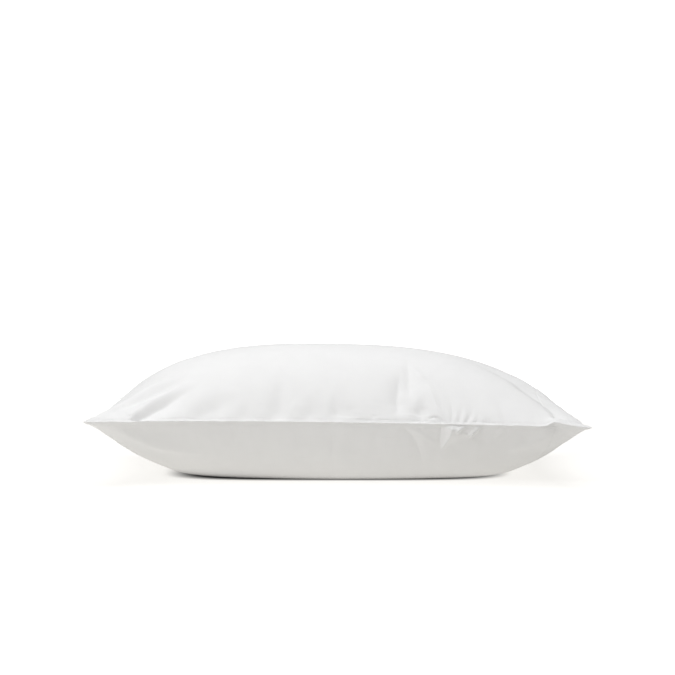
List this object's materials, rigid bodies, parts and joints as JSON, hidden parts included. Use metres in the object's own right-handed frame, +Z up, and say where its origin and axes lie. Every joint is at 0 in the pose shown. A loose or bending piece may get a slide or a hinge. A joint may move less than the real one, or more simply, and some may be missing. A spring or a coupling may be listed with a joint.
{
  "type": "filled bed pillowcase",
  "caption": "Plain white cotton pillowcase, filled, with a crowned top, drawn-in sewn edges, pointed ears and a flat underside.",
  "frame": {"origin": "on the surface it lies on, under the middle of its length and depth", "axes": "+X along the length towards the open end, +Y from the front seam to the back seam, +Z up"},
  "size_m": [0.715, 0.472, 0.1929],
  "materials": {
    "white_cotton": "matt plain weave with a slight sheen"
  },
  "bodies": {
    "root": {"pillowcase": "white_cotton"}
  },
  "joints": []
}
